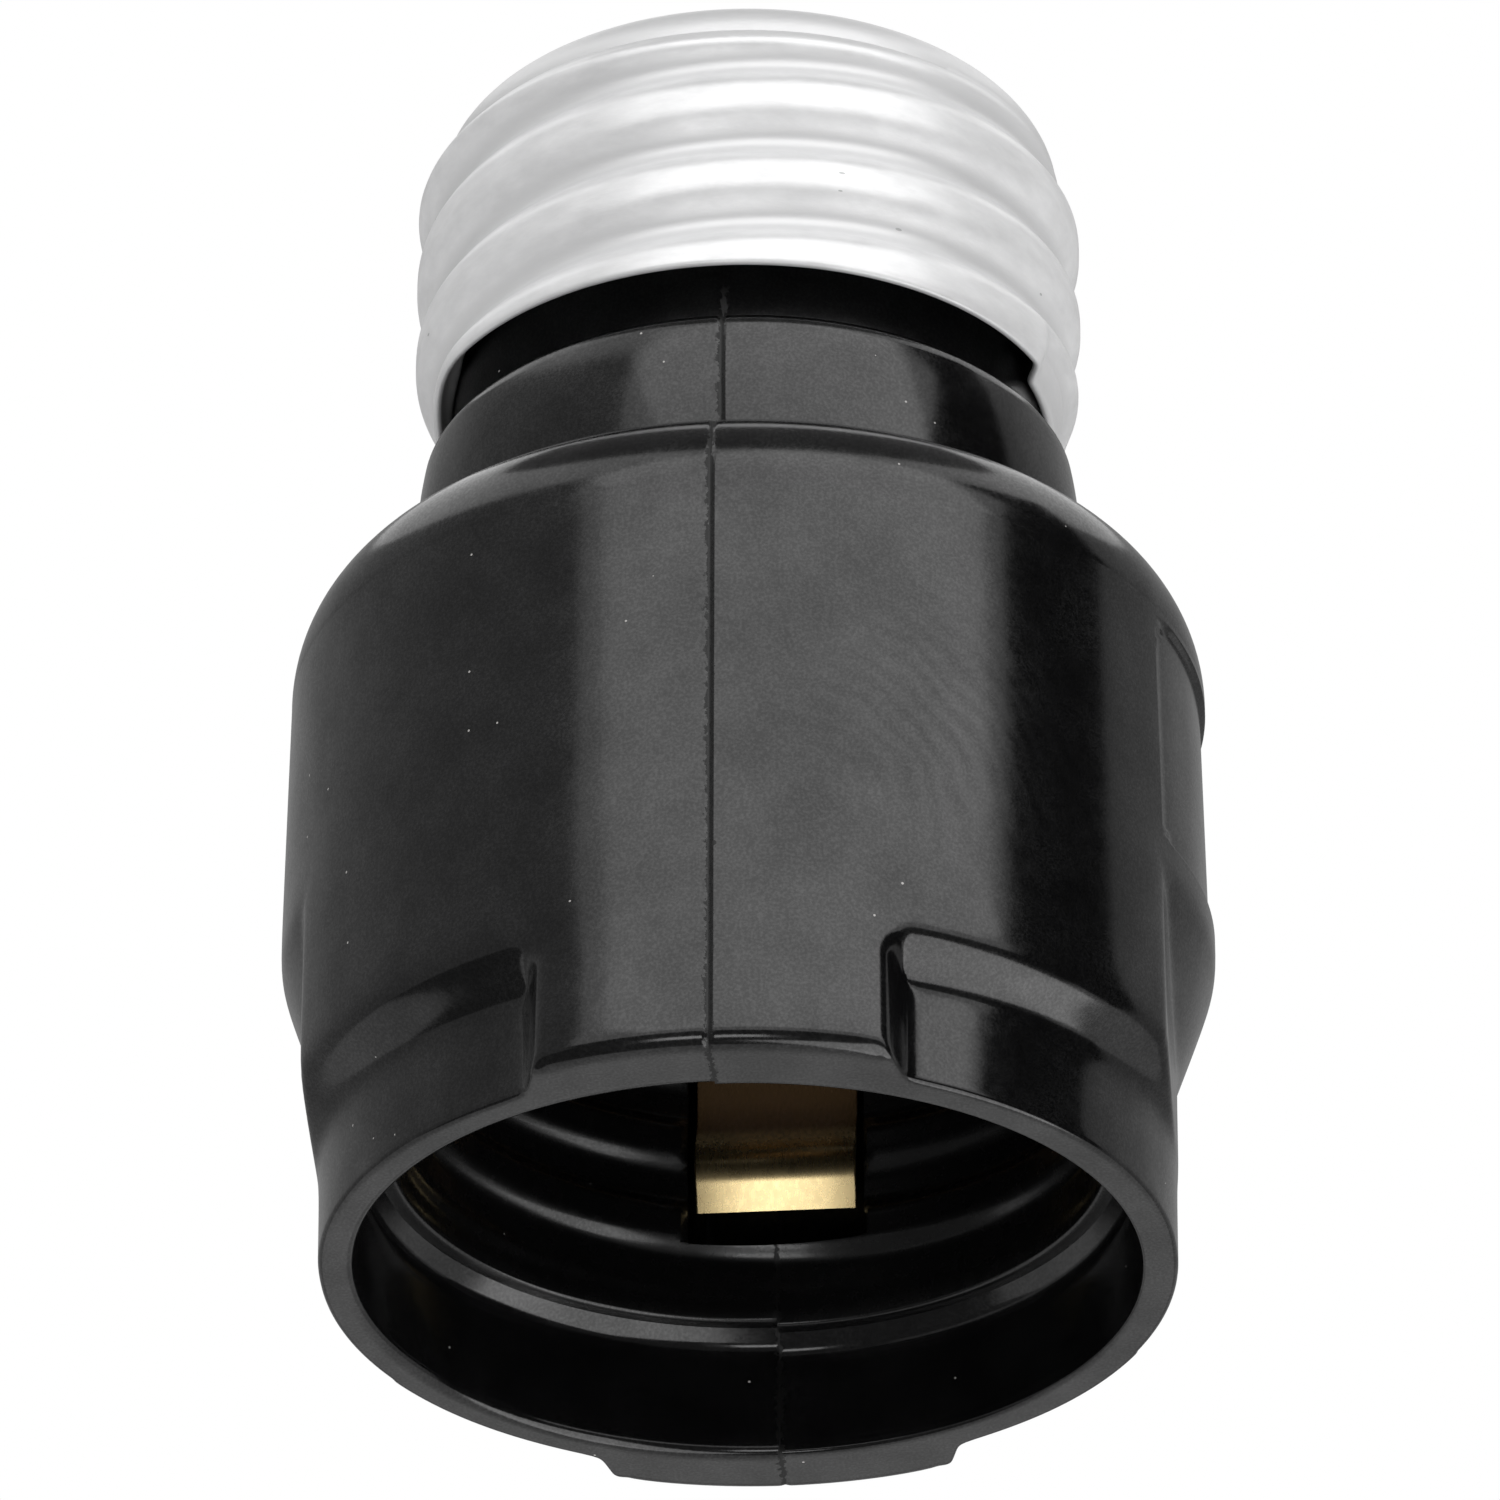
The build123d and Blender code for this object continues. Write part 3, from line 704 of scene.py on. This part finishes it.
def side_strip(c, material):
    """The side contact: a flat section with rounded edges carried along its bent path in the YZ plane.

    The section is a rounded rectangle whose half width steps out at the head.
    """
    corners = [
        (c.lip_y, c.strip_top), (c.stem_y, c.lip_low), (c.stem_y, c.jog_z),
        (c.spring_y, c.jog_z - c.jog_height), (c.spring_y, c.nose_z + 2 * c.nose_half),
        (c.nose_y, c.nose_z), (c.nose_y + c.nose_end, c.nose_z - c.nose_drop),
    ]
    radii = [c.bend_radius] * 3 + [c.sweep_radius, c.bend_radius]
    path = split_runs(rounded_path(corners, radii, 15), STRIP_STEP)
    along = np.gradient(path, axis=0)
    along = along / np.linalg.norm(along, axis=1)[:, None]
    normal = np.stack([-along[:, 1], along[:, 0]], axis=1)
    at_head = (path[:, 1] > c.head_low) & (path[:, 1] < c.head_high)
    half = np.where(at_head, c.head_width, c.strip_width)[:, None] / 2 - c.strip_edge
    inset = c.strip_thickness / 2 - c.strip_edge
    quarter = np.linspace(0, QUARTER, 4)
    corner = [(1, 1, quarter), (-1, 1, quarter + QUARTER)]
    corner += [(-1, -1, quarter + math.pi), (1, -1, quarter + 3 * QUARTER)]
    x = np.concatenate([sx * half + c.strip_edge * np.cos(a) for sx, _, a in corner], axis=1)
    n = np.concatenate([sn * inset + c.strip_edge * np.sin(a) for _, sn, a in corner])
    y = path[:, :1] + normal[:, :1] * n
    z = path[:, 1:] + normal[:, 1:] * n
    points = np.stack([x, y, z], axis=-1).reshape(-1, 3)
    count, columns = x.shape
    faces = grid_faces(count, columns, False, True)
    first = list(range(columns - 1, -1, -1))
    last = list(range((count - 1) * columns, count * columns))
    return new_piece("side_contact_strip", points.tolist(), faces + [first, last], material)


def turned_piece(name, corners, rounding, material):
    """A solid of revolution from (radius, height) corners in millimetres, rounded, from axis to axis."""
    corners = [(r * MM, z * MM) for r, z in corners]
    outline = rounded_path(corners, [rounding * MM] * len(corners), 5)
    angle = np.linspace(0.0, TURN, 96, endpoint=False)
    ring, (count, columns) = swept(outline[1:-1], angle)
    points = np.concatenate([ring, [(0, 0, outline[0][1]), (0, 0, outline[-1][1])]])
    faces = grid_faces(count, columns, False, True)
    column = np.arange(columns)
    following = np.roll(column, -1)
    low = count * columns
    top = low - columns
    faces += np.stack([np.full(columns, low), following, column], axis=1).tolist()
    faces += np.stack([np.full(columns, low + 1), column + top, following + top], axis=1).tolist()
    return new_piece(name, points.tolist(), faces, material, math.radians(30))


def coil(c, material):
    """The spring: a round wire carried along a helix of steady rise."""
    steps = int(c.coil_turns * 28)
    t = np.linspace(0.0, TURN * c.coil_turns, steps)
    rise = (c.coil_high - c.coil_low) / (TURN * c.coil_turns)
    out = np.stack([np.cos(t), np.sin(t), 0 * t], axis=1)
    centre = out * c.coil_radius
    centre[:, 2] = c.coil_low + rise * t
    along = np.stack([-np.sin(t) * c.coil_radius, np.cos(t) * c.coil_radius, rise + 0 * t], axis=1)
    along = along / np.linalg.norm(along, axis=1)[:, None]
    up = np.cross(along, out)
    a = np.linspace(0.0, TURN, 12, endpoint=False)
    ring = np.cos(a)[None, :, None] * out[:, None, :] + np.sin(a)[None, :, None] * up[:, None, :]
    points = (centre[:, None, :] + c.wire_radius * ring).reshape(-1, 3)
    faces = [f[::-1] for f in grid_faces(steps, len(a), False, True)]
    faces.append(list(range(len(a))))
    faces.append(list(range((steps - 1) * len(a), steps * len(a)))[::-1])
    return new_piece("contact_spring_coil", points.tolist(), faces, material)


class Nodes:
    """A node tree with short ways to add to it. A value is a socket or a plain number or colour."""

    def __init__(self, tree):
        self.tree = tree

    def attach(self, value, socket):
        """Links a socket to an input, or puts a plain value on it."""
        if isinstance(value, bpy.types.NodeSocket):
            self.tree.links.new(value, socket)
        else:
            socket.default_value = value

    def place(self, kind, **settings):
        """A new node. Each setting is an attribute of the node, or else a value for the input it names."""
        node = self.tree.nodes.new(kind)
        for key, value in settings.items():
            if hasattr(node, key):
                setattr(node, key, value)
            else:
                self.attach(value, node.inputs[key.replace("_", " ")])
        return node

    def math(self, operation, a, b=0.0):
        """Two values joined by an operation."""
        node = self.place("ShaderNodeMath", operation=operation)
        self.attach(a, node.inputs[0])
        self.attach(b, node.inputs[1])
        return node.outputs[0]

    def plus(self, a, b):
        """A sum."""
        return self.math("ADD", a, b)

    def times(self, a, b):
        """A product."""
        return self.math("MULTIPLY", a, b)

    def without(self, value, mask):
        """A value taken away where a mask is 1."""
        return self.times(value, self.math("SUBTRACT", 1.0, mask))

    def noise(self, where, scale, detail, roughness):
        """A noise value on the given coordinates."""
        settings = {"Vector": where, "Scale": scale, "Detail": detail, "Roughness": roughness}
        return self.place("ShaderNodeTexNoise", **settings).outputs["Fac"]

    def spread(self, source, to=(0.0, 1.0), span=(0.0, 1.0)):
        """A value moved from its span to another range, and held inside it."""
        node = self.place("ShaderNodeMapRange")
        for value, socket in zip((source, *span, *to), node.inputs):
            self.attach(value, socket)
        return node.outputs[0]

    def mix(self, factor, first, second):
        """A colour between two colours."""
        node = self.place("ShaderNodeMix", data_type="RGBA", Factor=factor)
        ends = [socket for socket in node.inputs if socket.type == "RGBA"]
        for value, socket in zip((first, second), ends):
            self.attach(value if isinstance(value, bpy.types.NodeSocket) else (*value, 1.0), socket)
        return [socket for socket in node.outputs if socket.type == "RGBA"][0]


class Paint(Nodes):
    """A material in the making: its shader, Object coordinates and the values of the grain group."""

    def __init__(self, name, stretch=(1.0, 1.0, 1.0), **grain):
        self.material = bpy.data.materials.new(name)
        self.material.use_nodes = True
        super().__init__(self.material.node_tree)
        self.shader = self.tree.nodes["Principled BSDF"]
        self.where = self.place("ShaderNodeTexCoord").outputs["Object"]
        self.x, self.y, self.z = self.place("ShaderNodeSeparateXYZ", Vector=self.where).outputs
        local = self.place("ShaderNodeMapping", Vector=self.where, Scale=stretch).outputs["Vector"]
        group = bpy.data.node_groups.get(GRAIN_GROUP) or surface_grain()
        group = self.place("ShaderNodeGroup", node_tree=group, Vector=local, **grain)
        self.mottle, self.grain, self.specks = group.outputs

    def axis_distance(self):
        """Distance from the object's axis."""
        return self.math("SQRT", self.plus(self.times(self.x, self.x), self.times(self.y, self.y)))

    def bump(self, height, distance):
        """A normal from a height value."""
        return self.place("ShaderNodeBump", Strength=1.0, Distance=distance, Height=height).outputs["Normal"]

    def done(self, **inputs):
        """Gives the shader its inputs and returns the material."""
        for key, value in inputs.items():
            self.attach(value, self.shader.inputs[key.replace("_", " ")])
        return self.material


def shade(rgb, factor):
    """A colour made lighter or darker."""
    return tuple(factor * c for c in rgb)


def surface_grain():
    """Node group: soft mottling, fine grain and sparse specks on the given coordinates."""
    tree = bpy.data.node_groups.new(GRAIN_GROUP, "ShaderNodeTree")
    face = tree.interface
    face.new_socket("Vector", in_out="INPUT", socket_type="NodeSocketVector")
    for name, value in GRAIN_DEFAULTS.items():
        face.new_socket(name, in_out="INPUT", socket_type="NodeSocketFloat").default_value = value
    for name in ("Mottle", "Grain", "Specks"):
        face.new_socket(name, in_out="OUTPUT", socket_type="NodeSocketFloat")
    n = Nodes(tree)
    given = n.place("NodeGroupInput").outputs
    where = given["Vector"]
    mottle = n.noise(where, given["Mottle Scale"], 4.0, 0.6)
    grain = n.noise(where, given["Grain Scale"], 2.0, 0.55)
    cells = n.place("ShaderNodeTexVoronoi", feature="F1", Vector=where, Scale=given["Speck Scale"]).outputs
    tone = n.place("ShaderNodeSeparateColor", Color=cells["Color"]).outputs["Red"]
    near = n.math("LESS_THAN", cells["Distance"], given["Speck Size"])
    specks = n.times(n.math("GREATER_THAN", tone, SPECK_CHOICE), near)
    n.place("NodeGroupOutput", Mottle=mottle, Grain=grain, Specks=specks)
    return tree


def polish_swirl(p):
    """Faint rings left by wiping: a ring wave inside a soft ball round a place on the surface."""
    size = (1.0 / SWIRL_REACH,) * 3
    centre = [-c * MM / SWIRL_REACH for c in SWIRL_PLACE]
    local = p.place("ShaderNodeMapping", Vector=p.where, Scale=size, Location=centre).outputs["Vector"]
    ball = p.place("ShaderNodeTexGradient", gradient_type="SPHERICAL", Vector=local)
    off = p.place("ShaderNodeMapping", Vector=local, Location=SWIRL_OFFSET).outputs["Vector"]
    rings = p.place(
        "ShaderNodeTexWave", wave_type="RINGS", rings_direction="SPHERICAL", Vector=off,
        Scale=2.6, Distortion=5.0, Detail=3.0, Detail_Scale=1.6,
    )
    return p.times(ball.outputs["Fac"], rings.outputs["Fac"])


def moulded_black(f):
    """Black moulding: satin with soft mottling, a hazy film, wiping marks, a rough seam and sparse dust."""
    p = Paint("moulded_black", Mottle_Scale=1500.0, Grain_Scale=9000.0, Speck_Scale=1000.0, Speck_Size=0.05)
    width = p.spread(p.noise(p.where, scale=3000.0, detail=4.0, roughness=0.75), SEAM_WIDTHS, CRUMB_SPAN)
    seam = p.math("LESS_THAN", p.math("ABSOLUTE", p.x), width)
    swirl = polish_swirl(p)
    socket = p.spread(p.axis_distance(), (1.0, 0.0), SOCKET_REACH)
    socket = p.times(socket, p.math("LESS_THAN", p.z, SOCKET_TOP))
    smudge = p.noise(p.where, scale=320.0, detail=5.0, roughness=0.6)
    fine = p.spread(p.grain, span=FINE_SPAN)
    haze = p.without(p.times(p.spread(smudge, (0.1, 1.0), HAZE_SPAN), fine), socket)
    tone = p.mix(p.spread(p.mottle, span=NOISE_SPAN), f.plastic, shade(f.plastic, 1.4))
    tone = p.mix(haze, tone, f.haze)
    tone = p.mix(swirl, tone, shade(f.plastic, 2.0))
    tone = p.mix(p.specks, tone, f.dust)
    tone = p.mix(seam, tone, shade(f.plastic, 0.6))
    rough = p.spread(p.mottle, MOULDING_ROUGHNESS, NOISE_SPAN)
    for mask, more in ((swirl, SWIRL_ROUGHER), (haze, HAZE_ROUGHER), (socket, SOCKET_ROUGHER)):
        rough = p.plus(rough, p.times(mask, more))
    rough = p.math("MAXIMUM", rough, p.spread(seam, (0.0, SEAM_ROUGHNESS)))
    film = p.plus(p.spread(smudge, SMUDGE_FILM, SMUDGE_SPAN), p.spread(p.grain, GRAIN_FILM, FINE_SPAN))
    film = p.without(p.plus(film, p.times(swirl, SWIRL_FILM)), seam)
    height = p.plus(p.mottle, p.times(p.grain, 0.3))
    height = p.math("SUBTRACT", height, p.times(seam, 8.0))
    p.done(Coat_Weight=film, Coat_Roughness=FILM_ROUGHNESS)
    return p.done(Base_Color=tone, Roughness=rough, Normal=p.bump(height, MOULDING_BUMP))


def rolled_aluminium(f):
    """Rolled aluminium: pale satin metal with faint streaks round the shell, painted shade in the thread's
    roots and small scuffs.
    """
    grain = {"Mottle_Scale": 500.0, "Grain_Scale": 3800.0, "Speck_Scale": 420.0, "Speck_Size": 0.06}
    p = Paint("rolled_aluminium", (1.0, 1.0, 3.0), **grain)
    tone = p.mix(p.spread(p.mottle, span=(0.3, 0.75)), shade(f.aluminium, 0.85), f.aluminium)
    # Painted shade: the thread's roots are painted darker, in patches, where shade falls between the crests.
    root_shade = p.spread(p.axis_distance(), (1.0, 0.0), ROOT_SHADE_REACH)
    root_shade = p.times(root_shade, p.spread(p.mottle, (0.5, 1.0), NOISE_SPAN))
    tone = p.mix(root_shade, tone, shade(f.aluminium, 0.8))
    tone = p.mix(p.specks, tone, shade(f.aluminium, 0.55))
    rough = p.spread(p.grain, SHELL_ROUGHNESS, NOISE_SPAN)
    normal = p.bump(p.plus(p.mottle, p.times(p.grain, 0.5)), SHELL_BUMP)
    return p.done(Base_Color=tone, Metallic=SHELL_METALLIC, Roughness=rough, Normal=normal)


def bright_brass(f):
    """Bright brass, dulled in faint patches, with painted shade along the strip above its nose: dark brown
    and less metallic where it faces the socket's dark inside.
    """
    grain = {"Mottle_Scale": 700.0, "Grain_Scale": 5200.0, "Speck_Scale": 500.0, "Speck_Size": 0.05}
    p = Paint("bright_brass", (1.0, 1.0, 0.25), **grain)
    tone = p.mix(p.spread(p.mottle, span=(0.45, 0.8)), f.brass, shade(f.brass, 0.8))
    # Painted shade: the strip above its nose is painted dark brown and made less metallic, standing in for
    # the dark socket that it reflects.
    above = p.spread(p.z, (0.0, 1.0), STRIP_SHADE_START)
    painted_strip_shade = p.times(above, p.spread(p.z, (1.0, 0.0), STRIP_SHADE_END))
    tone = p.mix(painted_strip_shade, tone, f.tarnish)
    metal = p.spread(painted_strip_shade, (1.0, STRIP_SHADE_METALLIC))
    return p.done(Base_Color=tone, Metallic=metal, Roughness=p.spread(p.grain, BRASS_ROUGHNESS, NOISE_SPAN))


def drawn_wire(f):
    """Drawn steel wire with fine grain."""
    p = Paint("drawn_wire", Grain_Scale=9000.0)
    tone = p.mix(p.mottle, shade(f.wire, 0.8), f.wire)
    rough = p.spread(p.grain, WIRE_ROUGHNESS)
    return p.done(Base_Color=tone, Metallic=1.0, Roughness=rough, Normal=p.bump(p.grain, WIRE_BUMP))


def finish(maker):
    """The material that a function makes, made the first time it is asked for."""
    return bpy.data.materials.get(maker.__name__) or maker(bpy.context.scene.adapter_finishes)


class AddBodyHalves(bpy.types.Operator):
    """Models the two moulded halves."""

    bl_idname = "adapter.add_body_halves"
    bl_label = "Moulded halves"

    def execute(self, context):
        b = context.scene.adapter_body
        material = finish(moulded_black)
        low = b.mouth_depth - b.ledge_step / 2
        high = b.mouth_depth + b.ledge_step / 2
        right = body_half(b, "right_half_moulding", 0.0, low, b.mouth_edge, material)
        left = body_half(b, "left_half_moulding", math.pi, high, b.mouth_bevel, material)
        for obj, node in ((right, "right_body_half"), (left, "left_body_half")):
            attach(obj, MAIN_BODY)
            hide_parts(node)
        return {"FINISHED"}


class AddScrewShell(bpy.types.Operator):
    """Models the threaded screw shell."""

    bl_idname = "adapter.add_screw_shell"
    bl_label = "Screw shell"

    def execute(self, context):
        obj = screw_shell(context.scene.adapter_shell, finish(rolled_aluminium))
        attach(obj, MAIN_BODY)
        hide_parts("screw_shell")
        return {"FINISHED"}


class AddSideContact(bpy.types.Operator):
    """Models the bent strip of the side contact."""

    bl_idname = "adapter.add_side_contact"
    bl_label = "Side contact"

    def execute(self, context):
        obj = side_strip(context.scene.adapter_contacts, finish(bright_brass))
        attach(obj, STRIP_BODY)
        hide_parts("side_contact")
        return {"FINISHED"}


class AddCentreContacts(bpy.types.Operator):
    """Models the tip contact, the centre plunger and the spring between them."""

    bl_idname = "adapter.add_centre_contacts"
    bl_label = "Centre contacts"

    def execute(self, context):
        brass = finish(bright_brass)
        tip = turned_piece("tip_contact_button", TIP_OUTLINE, TIP_ROUNDING, brass)
        plunger = turned_piece("centre_plunger_pin", PLUNGER_OUTLINE, PLUNGER_ROUNDING, brass)
        spring = coil(context.scene.adapter_contacts, finish(drawn_wire))
        for obj, node, body, slot in (
            (tip, "tip_contact", MAIN_BODY, "contact_brass"),
            (plunger, "centre_plunger", PLUNGER_BODY, "contact_brass"),
            (spring, "contact_spring", MAIN_BODY, "spring_steel"),
        ):
            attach(obj, body)
            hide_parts(node)
        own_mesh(spring)
        return {"FINISHED"}


def outward(azimuth, elevation):
    """The direction at an azimuth from -Y towards +X and an elevation, both in radians."""
    level = math.cos(elevation)
    return Vector((math.sin(azimuth) * level, -math.cos(azimuth) * level, math.sin(elevation)))


def aimed(name, data, away, target, distance):
    """A light or camera at a distance from its target, looking back at it."""
    obj = bpy.data.objects.new(name, data)
    obj.location = target + away * distance
    obj.rotation_euler = away.to_track_quat("Z", "Y").to_euler()
    bpy.context.scene.collection.objects.link(obj)
    return obj


def soft_panel(name, radiance):
    """An area light from the table of lights that faces the object, with a given brightness."""
    azimuth, elevation, distance, width, tall = LIGHTS[name]
    light = bpy.data.lights.new(name, "AREA")
    light.shape = "RECTANGLE"
    light.size = width
    light.size_y = tall
    light.energy = radiance * width * tall * math.pi
    aimed(name, light, outward(math.radians(azimuth), math.radians(elevation)), Vector(), distance)


def card(name, heights, tone):
    """A card from the table of cards, seen by reflections only: a ring or an arc about the object's axis.

    The surface runs from (inner radius, low height) to (outer radius, high height) between two azimuths.
    """
    inner, outer, *azimuths = CARDS[name]
    angle = np.radians(np.linspace(*azimuths, 49))
    points, shape = swept(zip((inner, outer), heights), angle)
    paint = bpy.data.materials.new(name)
    paint.use_nodes = True
    glow = Nodes(paint.node_tree).place("ShaderNodeEmission", Color=WHITE, Strength=tone)
    paint.node_tree.links.new(glow.outputs[0], paint.node_tree.nodes["Material Output"].inputs["Surface"])
    obj = new_piece(name, points.tolist(), grid_faces(*shape, False, False), paint)
    obj.visible_camera = False
    obj.visible_diffuse = False
    obj.visible_shadow = False
    return obj


class AddStage(bpy.types.Operator):
    """Adds the floor, the white surroundings, the lights and the camera."""

    bl_idname = "adapter.add_stage"
    bl_label = "Stage"

    def execute(self, context):
        s = context.scene.adapter_studio
        scene = context.scene
        scene.view_settings.view_transform = "Standard"
        world = scene.world or bpy.data.worlds.new("Studio")
        scene.world = world
        world.use_nodes = True
        n = Nodes(world.node_tree)
        back = world.node_tree.nodes["Background"]
        path = n.place("ShaderNodeLightPath").outputs
        seen = n.math("MAXIMUM", path["Is Camera Ray"], path["Is Glossy Ray"])
        seen = n.math("MAXIMUM", seen, path["Is Transmission Ray"])
        n.attach(WHITE, back.inputs["Color"])
        n.attach(n.spread(seen, (s.ambient, 1.0)), back.inputs["Strength"])
        paint = bpy.data.materials.new("studio_floor")
        paint.use_nodes = True
        shader = paint.node_tree.nodes["Principled BSDF"]
        shader.inputs["Roughness"].default_value = FLOOR_ROUGHNESS
        shader.inputs["Base Color"].default_value = (*scene.adapter_finishes.floor, 1.0)
        square = ((-1, -1), (1, -1), (1, 1), (-1, 1))
        corners = [(x * FLOOR_REACH, y * FLOOR_REACH, s.floor_height) for x, y in square]
        floor = new_piece("studio_floor", corners, [(0, 1, 2, 3)], paint)
        low = s.table_height
        table = card("dark_table", (low, low), s.table_tone)
        board = card("grey_table", (low, low), s.board_tone)
        screen = card("grey_screen", (low, SCREEN_TOP), s.screen_tone)
        roof = card("grey_roof", (ROOF_HEIGHT, ROOF_HEIGHT), s.roof_tone)
        flag = card("black_flag", (low, SCREEN_TOP), FLAG_TONE)
        soft_panel("key_light", s.key_radiance)
        soft_panel("low_light", s.low_radiance)
        soft_panel("under_light", s.under_radiance)
        data = bpy.data.cameras.new("photo_camera")
        data.lens = s.lens
        data.sensor_width = 36.0
        data.shift_x = s.shift_x
        data.shift_y = s.shift_y
        away = outward(s.azimuth, s.elevation)
        scene.camera = aimed("photo_camera", data, away, Vector((0, 0, s.target_height)), s.distance)
        return {"FINISHED"}


class AdapterPanel(bpy.types.Panel):
    """Sidebar panel that lists the pieces of the adapter."""

    bl_idname = "VIEW3D_PT_adapter"
    bl_label = "Lamp socket adapter"
    bl_space_type = "VIEW_3D"
    bl_region_type = "UI"
    bl_category = "Adapter"

    def draw(self, context):
        for operator in OPERATORS:
            self.layout.operator(operator.bl_idname)


GROUPS = {
    "adapter_body": BodyShape,
    "adapter_shell": ShellShape,
    "adapter_contacts": ContactShape,
    "adapter_finishes": Finishes,
    "adapter_studio": Studio,
}
OPERATORS = (AddBodyHalves, AddScrewShell, AddSideContact, AddCentreContacts, AddStage)


def register():
    """Registers the property groups, operators and panel."""
    for name, group in GROUPS.items():
        bpy.utils.register_class(group)
        setattr(bpy.types.Scene, name, bpy.props.PointerProperty(type=group))
    for cls in (*OPERATORS, AdapterPanel):
        bpy.utils.register_class(cls)


def unregister():
    """Removes what register added."""
    for cls in (AdapterPanel, *reversed(OPERATORS)):
        bpy.utils.unregister_class(cls)
    for name, group in GROUPS.items():
        delattr(bpy.types.Scene, name)
        bpy.utils.unregister_class(group)


def main():
    """Registers the add-on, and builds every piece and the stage."""
    register()
    bpy.ops.adapter.add_body_halves()
    bpy.ops.adapter.add_screw_shell()
    bpy.ops.adapter.add_side_contact()
    bpy.ops.adapter.add_centre_contacts()
    bpy.ops.adapter.add_stage()


if __name__ == "__main__":
    main()
